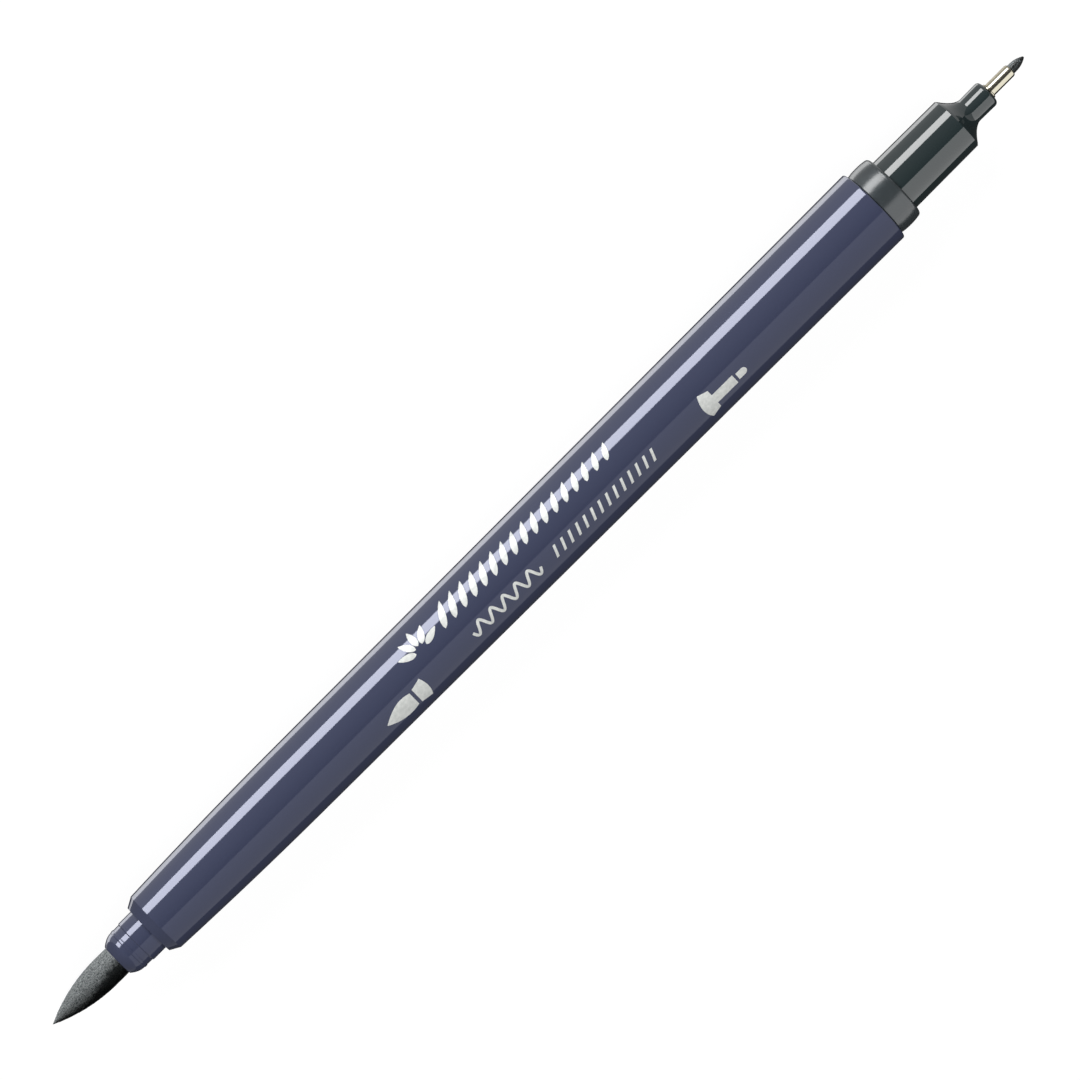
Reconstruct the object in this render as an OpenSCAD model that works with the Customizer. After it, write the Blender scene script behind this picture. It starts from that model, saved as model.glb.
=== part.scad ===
// Dual tip felt marker with both caps off: a fibre brush at one end and a fine nib at the other.
// Axis along X, brush at -X, fine nib at +X, +Z up, origin on the axis at half the length.
// A station is a distance along the axis in mm, counted from the point of the brush.

/* [Barrel] */
// Station of the barrel's brush end face
barrel_start = 14.8; // [14.2:0.1:15.4]
// Station of the barrel's fine end face
barrel_end = 127.4; // [124:0.1:130]
// Diameter of the brush end face
barrel_face_d = 6.54; // [6.2:0.02:6.8]
// Length of the straight chamfer behind the brush end face
barrel_chamfer = 1.25; // [1:0.05:1.5]
// Diameter that the barrel's long taper would have at its brush end, without the pull-in
taper_start_d = 8.66; // [8.5:0.02:8.9]
// Diameter of the long taper at the fine end
taper_end_d = 9.57; // [9.4:0.02:9.8]
// Length of the curved stretch where the taper pulls in towards the brush
pull_in_length = 22; // [16:1:30]
// How much the radius pulls in over that stretch
pull_in_depth = 0.42; // [0.2:0.02:0.5]
// Diameter of the main bore at the brush end
bore_start_d = 6.3; // [6.15:0.05:6.4]
// Diameter of the main bore at the fine end
bore_end_d = 7.7; // [7.5:0.05:7.8]

/* [Brush end] */
// Diameter of the brush nib
brush_d = 3.7; // [3.5:0.02:3.8]
// Length of the brush nib's pointed stretch
brush_point = 8.25; // [6:0.05:9.5]
// Station where the neck's front face stands
neck_face = 10; // [9.8:0.1:10.4]
// Diameter of the neck's front face
neck_face_d = 3.96; // [3.92:0.02:4.5]
// Diameter of the neck behind the snap bead
neck_d = 5.28; // [5:0.02:5.4]
// How much wider the neck gets for each mm towards the barrel
neck_draft = 0.04; // [0.02:0.01:0.08]
// Diameter over the snap bead that a cap clicks on
bead_d = 5.44; // [5.36:0.02:5.5]
// Diameter of the seat that a cap's mouth slides over
brush_seat_d = 5.52; // [5.5:0.02:5.8]
// Length of that seat, in front of the barrel
brush_seat_length = 1.9; // [1.5:0.05:2.2]

/* [Fine end] */
// Diameter of the collar, which the fine cap slides over
collar_d = 8.69; // [8.4:0.01:9]
// Width of the collar
collar_width = 3.1; // [2.6:0.05:4]
// Diameter of the fine section's shoulder at the collar
shoulder_d = 6.88; // [6.6:0.02:7.2]
// Diameter of the shoulder at its front edge
shoulder_front_d = 6.76; // [6.5:0.02:6.86]
// Length of the shoulder
shoulder_length = 9.9; // [8:0.1:11]
// Length of the hollow-curved cone in front of the shoulder
cone_length = 2; // [1.6:0.05:2.6]
// How hollow the cone is: 1 is a straight cone
cone_hollow = 1.8; // [1:0.05:2.2]
// Diameter of the nose
nose_d = 3.28; // [3:0.02:3.6]
// Length of the nose
nose_length = 2.8; // [2.2:0.1:3.4]
// Outside diameter of the steel nib sleeve
sleeve_d = 1.54; // [1.4:0.02:1.8]
// Length of the steel sleeve in front of the nose
sleeve_out = 3.5; // [3:0.05:4.5]
// Diameter of the fine nib
fine_nib_d = 1.16; // [0.9:0.02:1.2]
// Length of the fine nib in front of the sleeve
fine_nib_out = 2; // [1.2:0.05:2.4]

/* [Ink reservoir] */
// Diameter over the wrapped reservoir
reservoir_d = 6; // [5.6:0.02:6.1]
// Thickness of the wrapping film
film = 0.1; // [0.05:0.01:0.2]
// How far each nib runs into the reservoir
nib_entry = 5; // [3:0.5:8]

/* [Hidden] */

// Facets round a turned shape, and steps along a curve in its outline.
ROUND = 96;
STEPS = 12;
SLACK = 0.01;

INDIGO = "#3d4260";
GRAPHITE = "#34393c";
COLLAR_GREY = "#4a4f52";
STEEL = "#9d9791";
FIBRE_GREY = "#5f6466";
FIBRE_WHITE = "#e6e4de";
FILM_CLEAR = "#cfd6da";

// Stations, in order from the brush to the fine nib.
brush_seat_start = barrel_start - brush_seat_length;
bead_start = 11.56;
bead_end = 12;
brush_rod_end = 17;
section_end = 22;
reservoir_start = section_end;
reservoir_end = 116;
spigot_start = 118.3;
plug_bore_start = 117.3;
collar_end = barrel_end + collar_width;
shoulder_start = collar_end;
shoulder_end = shoulder_start + shoulder_length;
nose_start = shoulder_end + cone_length;
nose_end = nose_start + nose_length;
sleeve_start = nose_end - 4.6;
sleeve_end = nose_end + sleeve_out;
total_length = sleeve_end + fine_nib_out;

// Radii.
brush_r = brush_d / 2;
brush_tail_r = 1.5;
brush_seat_r = brush_seat_d / 2;
neck_spigot_r = 2.6;
chamber_r = 2.15;
plug_bore_r = 3.95;
collar_r = collar_d / 2;
collar_bore_r = 3;
shoulder_r = shoulder_d / 2;
shoulder_front_r = shoulder_front_d / 2;
nose_r = nose_d / 2;
fine_chamber_r = 2.3;
sleeve_r = sleeve_d / 2;
fine_nib_r = fine_nib_d / 2;
sleeve_bore_r = fine_nib_r + 0.02;
reservoir_r = reservoir_d / 2;
core_r = reservoir_r - film;

// Small edges and ribs.
end_round = 0.2;
collar_round = 0.35;
neck_lip = 1.05;
mouth_length = 1.5;
mouth_swell = 1.9;
step_round = 0.12;
shoulder_edge = 0.2;
nose_round = 0.4;
rib_t = 0.5;
barrel_rib_t = 0.6;
barrel_rib_start = 40;
barrel_rib_end = 112;

// The barrel's straight taper runs between these two stations.
taper_start = barrel_start + barrel_chamfer;

function mix(a, b, t) = a + (b - a) * t;

// The barrel's outside radius: a straight taper that pulls in along a parabola towards the brush.
function barrel_r(station) =
    let (along = (station - taper_start) / (barrel_end - taper_start),
         back = max(0, 1 - (station - taper_start) / pull_in_length))
    mix(taper_start_d, taper_end_d, along) / 2 - pull_in_depth * pow(back, 2);

// A quarter ellipse as [radius, station] points, from angle a0 to a1 in degrees about (r, s).
function elliptic(r, s, across, along, a0, a1, n = STEPS) =
    [for (i = [0:n]) let (a = mix(a0, a1, i / n)) [r + across * cos(a), s + along * sin(a)]];

// An ogive's radius at a distance back from its point.
function ogive_r(back, length, r) =
    let (arc = (pow(r, 2) + pow(length, 2)) / (2 * r))
    sqrt(pow(arc, 2) - pow(length - back, 2)) + r - arc;

// The neck's radius, which its draft widens towards the barrel.
function neck_at(station) = (neck_d + neck_draft * (station - bead_end)) / 2;

// Turns an outline of [radius, station] points about the marker's axis.
module turned(outline) {
    translate([-total_length / 2, 0, 0])
        rotate([0, 90, 0])
            rotate_extrude($fn = ROUND)
                polygon(outline);
}

// A plain round bar or hole between two stations.
module rod(r, from, to) {
    turned([[0, from], [r, from], [r, to], [0, to]]);
}

// A plain tube between two stations.
module tube(r_in, r_out, from, to) {
    turned([[r_in, from], [r_out, from], [r_out, to], [r_in, to]]);
}

// Radial ribs: thin walls that stand in from r_out to r_in all along a bore.
module ribs(count, r_in, r_out, thick, from, to) {
    intersection() {
        tube(r_in, r_out, from, to);
        for (i = [0:count - 1])
            rotate([i * 360 / count, 0, 0])
                translate([from - total_length / 2, -thick / 2, 0])
                    cube([to - from, thick, r_out + 1]);
    }
}

// The printed tube: tapered outside, a snug seat at each end, and ribs that centre the reservoir.
module barrel() {
    color(INDIGO) {
        difference() {
            turned(concat(
                [[0, barrel_start], [barrel_face_d / 2, barrel_start]],
                [for (i = [0:2 * STEPS])
                    let (s = mix(taper_start, taper_start + pull_in_length, i / STEPS / 2))
                    [barrel_r(s), s]],
                elliptic(barrel_r(barrel_end) - end_round, barrel_end - end_round,
                    end_round, end_round, 0, 90, 6),
                [[0, barrel_end]]));
            rod(neck_spigot_r, barrel_start - 1, section_end);
            turned([[0, section_end - 0.5], [bore_start_d / 2, section_end - 0.5],
                [bore_end_d / 2, plug_bore_start], [0, plug_bore_start]]);
            rod(plug_bore_r, plug_bore_start, barrel_end + 1);
        }
        ribs(4, reservoir_r + SLACK, bore_start_d / 2 + 0.7, barrel_rib_t,
            barrel_rib_start, barrel_rib_end);
    }
}

// The neck that grips the brush nib. A snap bead and a step take the brush cap, and a thinner
// spigot behind the step presses into the barrel.
module brush_section() {
    mouth_end = neck_face + mouth_length;
    lip_end = neck_face + neck_lip;
    bead_h = (bead_d - neck_d) / 2;
    color(INDIGO) {
        difference() {
            turned(concat(
                [[0, neck_face]],
                [for (i = [0:STEPS])
                    [mix(neck_at(mouth_end), neck_face_d / 2, pow(1 - i / STEPS, mouth_swell)),
                     mix(neck_face, mouth_end, i / STEPS)]],
                [for (i = [0:STEPS])
                    let (s = mix(bead_start, bead_end, i / STEPS))
                    [neck_at(s) + bead_h * sin(180 * i / STEPS), s]],
                [[neck_at(brush_seat_start - step_round), brush_seat_start - step_round],
                 [brush_seat_r, brush_seat_start],
                 [brush_seat_r, barrel_start], [neck_spigot_r, barrel_start],
                 [neck_spigot_r, section_end], [0, section_end]]));
            rod(brush_r + SLACK, neck_face - 1, lip_end + 0.5);
            rod(chamber_r, lip_end, section_end + 1);
        }
        ribs(6, brush_r + SLACK, chamber_r + 0.2, rib_t, lip_end, brush_rod_end);
    }
}

// The brush: a fibre rod with an ogive point, and a thinner tail that drinks from the reservoir.
module brush_nib() {
    tail_end = reservoir_start + nib_entry;
    color(FIBRE_GREY)
        turned(concat(
            [for (i = [0:2 * STEPS])
                let (back = brush_point * pow(i / STEPS / 2, 2))
                [ogive_r(back, brush_point, brush_r), back]],
            [[brush_r, brush_rod_end], [brush_tail_r, brush_rod_end + 0.6],
             [brush_tail_r, tail_end], [0, tail_end]]));
}

// The fibre ink reservoir, with a blind hole in each end for a nib's tail.
module reservoir_core() {
    color(FIBRE_WHITE)
        difference() {
            rod(core_r, reservoir_start, reservoir_end);
            rod(brush_tail_r, reservoir_start - 1, reservoir_start + nib_entry);
            rod(fine_nib_r, reservoir_end - nib_entry, reservoir_end + 1);
        }
}

// The clear film that wraps the reservoir.
module reservoir_film() {
    color(FILM_CLEAR)
        tube(core_r, reservoir_r, reservoir_start, reservoir_end);
}

// The satin collar, whose hollow spigot plugs the barrel.
module end_collar() {
    color(COLLAR_GREY)
        difference() {
            turned(concat(
                [[0, spigot_start], [plug_bore_r, spigot_start], [plug_bore_r, barrel_end]],
                elliptic(collar_r - collar_round / 2, barrel_end + collar_round / 2,
                    collar_round / 2, collar_round / 2, -90, 0, 6),
                elliptic(collar_r - collar_round, collar_end - collar_round,
                    collar_round, collar_round, 0, 90, 6),
                [[0, collar_end]]));
            rod(collar_bore_r, spigot_start - 1, collar_end + 1);
        }
}

// The fine section: a glossy shoulder, a hollow-curved cone and a nose, with a tail in the collar.
module fine_section() {
    cone_r = shoulder_front_r - shoulder_edge;
    color(GRAPHITE) {
        difference() {
            turned(concat(
                [[0, reservoir_end], [collar_bore_r, reservoir_end], [collar_bore_r, collar_end],
                 [shoulder_r, shoulder_start]],
                [[shoulder_front_r, shoulder_end - shoulder_edge]],
                [for (i = [0:STEPS])
                    [mix(nose_r, cone_r, pow(1 - i / STEPS, cone_hollow)),
                     mix(shoulder_end, nose_start, i / STEPS)]],
                elliptic(nose_r - nose_round, nose_end - nose_round,
                    nose_round, nose_round, 0, 90, 6),
                [[0, nose_end]]));
            turned([[0, reservoir_end - 1], [fine_chamber_r, reservoir_end - 1],
                [fine_chamber_r, shoulder_end - 3], [fine_nib_r + SLACK, shoulder_end - 1],
                [0, shoulder_end - 1]]);
            rod(fine_nib_r + SLACK, shoulder_end - 2, sleeve_start + 1);
            rod(sleeve_r, sleeve_start, nose_end + 1);
        }
        ribs(4, fine_nib_r + 5 * SLACK, fine_chamber_r + 0.2, rib_t,
            reservoir_end + 2, shoulder_end - 4);
    }
}

// The steel sleeve around the fine nib: a base ring on the nose and a front edge rolled inwards.
module nib_sleeve() {
    ring_r = 0.95;
    ring_t = 0.25;
    roll = 0.3;
    color(STEEL)
        difference() {
            turned(concat(
                [[0, sleeve_start], [sleeve_r, sleeve_start], [sleeve_r, nose_end],
                 [ring_r, nose_end], [ring_r, nose_end + ring_t], [sleeve_r, nose_end + ring_t]],
                elliptic(sleeve_bore_r, sleeve_end - roll,
                    sleeve_r - sleeve_bore_r, roll, 0, 80, 6),
                [[0, sleeve_end - roll + roll * sin(80)]]));
            rod(sleeve_bore_r, sleeve_start - 1, sleeve_end + 1);
        }
}

// The fine nib: a fibre rod with a bullet point, long enough to reach the reservoir.
module fine_nib() {
    point = 1.75;
    blunt = 0.07;
    fullness = 2.1;
    color(FIBRE_GREY)
        turned(concat(
            [[0, reservoir_end - nib_entry], [fine_nib_r, reservoir_end - nib_entry]],
            [for (i = [0:STEPS])
                [mix(fine_nib_r, blunt, pow(i / STEPS, fullness)),
                 total_length - point * (1 - i / STEPS)]],
            [[0, total_length]]));
}

barrel();
brush_section();
brush_nib();
reservoir_core();
reservoir_film();
end_collar();
fine_section();
nib_sleeve();
fine_nib();
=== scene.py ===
import math

import bmesh
import bpy
from mathutils import Matrix, Vector, noise


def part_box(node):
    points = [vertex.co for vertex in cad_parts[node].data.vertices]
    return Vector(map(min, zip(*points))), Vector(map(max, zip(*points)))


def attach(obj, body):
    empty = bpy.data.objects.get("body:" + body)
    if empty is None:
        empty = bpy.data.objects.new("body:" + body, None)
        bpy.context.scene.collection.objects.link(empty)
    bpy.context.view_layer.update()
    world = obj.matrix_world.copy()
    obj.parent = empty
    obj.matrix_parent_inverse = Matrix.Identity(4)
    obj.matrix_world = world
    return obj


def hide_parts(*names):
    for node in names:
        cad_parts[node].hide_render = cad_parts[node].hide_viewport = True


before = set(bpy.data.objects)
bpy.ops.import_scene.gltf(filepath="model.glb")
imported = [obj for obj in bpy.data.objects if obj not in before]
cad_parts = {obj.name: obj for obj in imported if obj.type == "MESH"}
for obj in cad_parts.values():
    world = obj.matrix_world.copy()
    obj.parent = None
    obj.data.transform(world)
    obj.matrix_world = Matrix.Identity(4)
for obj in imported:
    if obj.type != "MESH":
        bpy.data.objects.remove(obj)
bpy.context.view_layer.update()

# --- Studio -------------------------------------------------------------------------------
# The marker lies on a pale light table under soft boxes. Reflections see a room instead: a long
# strip box high on the left, walls on both sides, and a dark ceiling and ground.
MM = 0.001
barrel_low, barrel_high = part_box("barrel")
TABLE_GAP = 0.02 * MM
TABLE_DROP = barrel_low.z - TABLE_GAP


def linear(code):
    """An sRGB hex code as linear RGB with alpha."""
    parts = [int(code[i : i + 2], 16) / 255 for i in (1, 3, 5)]
    curve = [c / 12.92 if c <= 0.04045 else ((c + 0.055) / 1.055) ** 2.4 for c in parts]
    return (*curve, 1.0)


def add(tree, kind, settings=None, inputs=None):
    """Adds one node with its settings, and its inputs from values or from other nodes' sockets."""
    made = tree.nodes.new(kind)
    for name, value in (settings or {}).items():
        setattr(made, name, value)
    for key, value in (inputs or {}).items():
        if isinstance(value, bpy.types.NodeSocket):
            tree.links.new(value, made.inputs[key])
        else:
            made.inputs[key].default_value = value
    return made


def finish_of(name):
    """A new material, as (material, its node tree, its Principled shader)."""
    material = bpy.data.materials.new(name)
    material.use_nodes = True
    tree = material.node_tree
    return material, tree, tree.nodes["Principled BSDF"]


def box_light(name, size, power, place, aim=(0, 0, 0), seen=("diffuse",)):
    """A rectangular soft box that faces aim, seen only by the named kinds of ray."""
    data = bpy.data.lights.new(name, "AREA")
    data.shape = "RECTANGLE"
    data.size, data.size_y = size
    data.energy = power
    lamp = bpy.data.objects.new(name, data)
    bpy.context.scene.collection.objects.link(lamp)
    lamp.location = place
    lamp.rotation_euler = (Vector(aim) - Vector(place)).to_track_quat("-Z", "X").to_euler()
    for kind in ("camera", "diffuse", "glossy"):
        setattr(lamp, "visible_" + kind, kind in seen)
    return lamp


def around(angle, distance):
    """A place beside the axis: angle in degrees from straight up, positive towards -Y."""
    turn = math.radians(angle)
    return (0, -distance * math.sin(turn), distance * math.cos(turn))


table = bpy.data.meshes.new("table")
TABLE_HALF = 3.0
table.from_pydata(
    [(x * TABLE_HALF, y * TABLE_HALF, TABLE_DROP) for x, y in ((-1, -1), (1, -1), (1, 1), (-1, 1))],
    [],
    [(0, 1, 2, 3)],
)
table_top = bpy.data.objects.new("table", table)
bpy.context.scene.collection.objects.link(table_top)
acrylic, tree, shader = finish_of("opal_acrylic_light_table")
# Opal acrylic, lit from below, so it shows even and almost white.
shader.inputs["Base Color"].default_value = linear("#5a5a5a")
shader.inputs["Roughness"].default_value = 0.9
shader.inputs["Specular IOR Level"].default_value = 0.0
shader.inputs["Emission Color"].default_value = linear("#ffffff")
shader.inputs["Emission Strength"].default_value = 0.93
table.materials.append(acrylic)
table_top.visible_glossy = False
table_top.visible_diffuse = False

# The room, as a turn of shades about the marker's axis: angle from straight up, positive towards
# -Y, and how bright it is there. In turn: the ground, a low box that lights the rims, the left
# wall, the strip box, the ceiling that fades to the right, the right wall, and the ground again.
WALL_TOP = 11.8
STRIP_EDGE = -38.2
WALLS = [
    (-180, 0.05),
    (-152.5, 0.05),
    (-151.5, 1.2),
    (-137, 2.9),
    (-120.5, 4.4),
    (-119.5, 0.9),
    (-64.6, 0.9),
    (-64, WALL_TOP),
    (STRIP_EDGE, WALL_TOP),
    (-37.6, 0.35),
    (27.2, 0.06),
    (27.8, 0.72),
    (104.5, 0.72),
    (105.5, 0.05),
    (180, 0.05),
]
studio = bpy.data.worlds.new("studio")
bpy.context.scene.world = studio
studio.use_nodes = True
tree = studio.node_tree
tree.nodes.clear()
facing = add(tree, "ShaderNodeTexCoord")
split = add(tree, "ShaderNodeSeparateXYZ", None, {0: facing.outputs["Generated"]})
minus_y = add(tree, "ShaderNodeMath", {"operation": "MULTIPLY"}, {0: split.outputs["Y"], 1: -1.0})
turn = add(
    tree, "ShaderNodeMath", {"operation": "ARCTAN2"}, {0: minus_y.outputs[0], 1: split.outputs["Z"]}
)
share = add(
    tree, "ShaderNodeMapRange", None, {"Value": turn.outputs[0], 1: -math.pi, 2: math.pi, 3: 0.0, 4: 1.0}
)
ramp = add(tree, "ShaderNodeValToRGB", None, {0: share.outputs[0]})
stops = ramp.color_ramp.elements
while len(stops) < len(WALLS):
    stops.new(0.5)
for stop, (angle, shade) in zip(stops, WALLS, strict=True):
    stop.position = (angle + 180) / 360
    stop.color = (shade / WALL_TOP, shade / WALL_TOP, shade / WALL_TOP, 1)
shade = add(tree, "ShaderNodeMath", {"operation": "MULTIPLY"}, {0: ramp.outputs[0], 1: WALL_TOP})
# A direction points past an end when its X is more than PAST_END. Past the fine end the strip box
# stops, and the whole left side is an even wall. Past the brush end is one dim wall, which starts
# at DIM_WALL_START, so that the lowest part of the low box still lights the rims.
BRUSH_END_WALL = 0.3
FINE_END_WALL = 0.9
PAST_END = 0.42
DIM_WALL_START = -147
past_fine = add(
    tree, "ShaderNodeMath", {"operation": "GREATER_THAN"}, {0: split.outputs["X"], 1: PAST_END}
)
capped = add(tree, "ShaderNodeMath", {"operation": "MINIMUM"}, {0: shade.outputs[0], 1: FINE_END_WALL})
on_left = add(
    tree, "ShaderNodeMath", {"operation": "LESS_THAN"}, {0: turn.outputs[0], 1: math.radians(STRIP_EDGE)}
)
left_wall = add(
    tree, "ShaderNodeMath", {"operation": "MULTIPLY"}, {0: on_left.outputs[0], 1: FINE_END_WALL}
)
fine_walls = add(
    tree, "ShaderNodeMath", {"operation": "MAXIMUM"}, {0: capped.outputs[0], 1: left_wall.outputs[0]}
)
with_fine = add(
    tree, "ShaderNodeMix", None, {0: past_fine.outputs[0], 2: shade.outputs[0], 3: fine_walls.outputs[0]}
)
past_brush = add(
    tree, "ShaderNodeMath", {"operation": "LESS_THAN"}, {0: split.outputs["X"], 1: -PAST_END}
)
off_ground = add(
    tree,
    "ShaderNodeMath",
    {"operation": "GREATER_THAN"},
    {0: turn.outputs[0], 1: math.radians(DIM_WALL_START)},
)
dim_end = add(
    tree,
    "ShaderNodeMath",
    {"operation": "MULTIPLY"},
    {0: past_brush.outputs[0], 1: off_ground.outputs[0]},
)
with_brush = add(
    tree, "ShaderNodeMix", None, {0: dim_end.outputs[0], 2: with_fine.outputs[0], 3: BRUSH_END_WALL}
)
room = add(
    tree, "ShaderNodeBackground", None, {"Color": (1, 1, 1, 1), "Strength": with_brush.outputs[0]}
)
backdrop = add(tree, "ShaderNodeBackground", None, {"Color": (1, 1, 1, 1), "Strength": 1.0})
unlit = add(tree, "ShaderNodeBackground", None, {"Color": (0, 0, 0, 1), "Strength": 0.0})
ray = add(tree, "ShaderNodeLightPath")
seen_direct = add(
    tree,
    "ShaderNodeMixShader",
    None,
    {0: ray.outputs["Is Camera Ray"], 1: unlit.outputs[0], 2: backdrop.outputs[0]},
)
seen_mirrored = add(
    tree,
    "ShaderNodeMixShader",
    None,
    {0: ray.outputs["Is Glossy Ray"], 1: seen_direct.outputs[0], 2: room.outputs[0]},
)
add(tree, "ShaderNodeOutputWorld", None, {0: seen_mirrored.outputs[0]})

box_light("key_soft_box", (0.9, 0.5), 7.5, around(-58, 0.9))
fill_box = box_light("fill_soft_box", (1.4, 1.4), 14.0, around(28, 1.2))
# A long card on the right lights the collar, fine section and sleeve only. They are linked to it
# once the sleeve is made.
CARD_X = 0.1
card_place = (CARD_X, *around(67, 0.3)[1:])
card_box = box_light("fine_end_card", (0.49, 0.6), 1.5, card_place, aim=(CARD_X, 0, 0), seen=("glossy",))

# --- Barrel -------------------------------------------------------------------------------
# One long tube of indigo polypropylene, injection moulded with a high gloss. It tapers towards
# the brush, pulls in over the last stretch and ends in a chamfer. Neck and collar plug its ends.
CHAMFER = 1.15 * MM
PULL_LENGTH = 22 * MM
PULL_DEPTH = 0.42 * MM
FACE_RADIUS = 3.27 * MM
TAPER_GAIN = 0.455 * MM
REAR_EDGE_ROUND = 0.2 * MM
NECK_BORE = 2.6 * MM
BORE_FRONT = 3.15 * MM
BORE_REAR = 3.85 * MM
PLUG_BORE = 3.95 * MM
PLUG_DEPTH = 10.1 * MM
SEAM_GAP = 0.0001 * MM
BARREL_SIDES = 192
CHAMFER_STEPS = 4
TAPER_STEPS = 110
EDGE_STEPS = 8

polypropylene, tree, shader = finish_of("indigo_polypropylene_high_gloss")
# Moulded polypropylene takes the mould's polish. A faint orange peel, about 1.5 mm across, and
# light scuffs along the tube from handling, about 1.1 mm apart, keep its reflections alive.
place = add(tree, "ShaderNodeTexCoord")
peel = add(
    tree, "ShaderNodeTexNoise", None, {"Vector": place.outputs["Object"], "Scale": 650.0, "Detail": 1.0}
)
along = add(tree, "ShaderNodeMapping", None, {0: place.outputs["Object"], "Scale": (60.0, 900.0, 900.0)})
scuffs = add(tree, "ShaderNodeTexNoise", None, {"Vector": along.outputs[0], "Scale": 1.0, "Detail": 3.0})
worn = add(
    tree, "ShaderNodeMapRange", None, {0: scuffs.outputs["Fac"], 1: 0.45, 2: 0.75, 3: 0.02, 4: 0.07}
)
relief = add(
    tree,
    "ShaderNodeBump",
    None,
    {"Height": peel.outputs["Fac"], "Distance": 0.00000015, "Strength": 1.0},
)
tree.links.new(worn.outputs[0], shader.inputs["Roughness"])
tree.links.new(relief.outputs[0], shader.inputs["Normal"])
shader.inputs["Base Color"].default_value = linear("#3f445c")
shader.inputs["IOR"].default_value = 1.59
shader.inputs["Specular Tint"].default_value = linear("#e9ecff")

tube_tree = bpy.data.node_groups.new("tapered_tube", "GeometryNodeTree")
tube_tree.interface.new_socket("Tube", in_out="OUTPUT", socket_type="NodeSocketGeometry")
TUBE_SIZES = {
    "Front": barrel_low.x,
    "Rear": barrel_high.x,
    "Face Radius": FACE_RADIUS,
    "Front Radius": barrel_high.z - TAPER_GAIN,
    "Rear Radius": barrel_high.z,
    "Chamfer": CHAMFER,
    "Pull Length": PULL_LENGTH,
    "Pull Depth": PULL_DEPTH,
    "Edge Round": REAR_EDGE_ROUND,
    "Neck Bore": NECK_BORE,
    "Neck Bore End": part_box("brush_section")[1].x,
    "Bore Front": BORE_FRONT,
    "Bore Rear": BORE_REAR,
    "Plug Bore": PLUG_BORE,
    "Plug Bore Start": barrel_high.x - PLUG_DEPTH,
}
for size_name in TUBE_SIZES:
    tube_tree.interface.new_socket(size_name, in_out="INPUT", socket_type="NodeSocketFloat")
given = add(tube_tree, "NodeGroupInput")
# A grid one metre a step is numbered by its own positions: i runs out along the skin and back
# along the bore, and j runs round the tube.
half_steps = CHAMFER_STEPS + TAPER_STEPS + EDGE_STEPS
long_steps = 2 * half_steps + 2
grid = add(
    tube_tree,
    "GeometryNodeMeshGrid",
    None,
    {0: float(long_steps), 1: float(BARREL_SIDES), 2: long_steps + 1, 3: BARREL_SIDES + 1},
)
where = add(
    tube_tree, "ShaderNodeSeparateXYZ", None, {0: add(tube_tree, "GeometryNodeInputPosition").outputs[0]}
)
found = {name: given.outputs[name] for name in TUBE_SIZES}
found.update(X=where.outputs["X"], Y=where.outputs["Y"])
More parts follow.
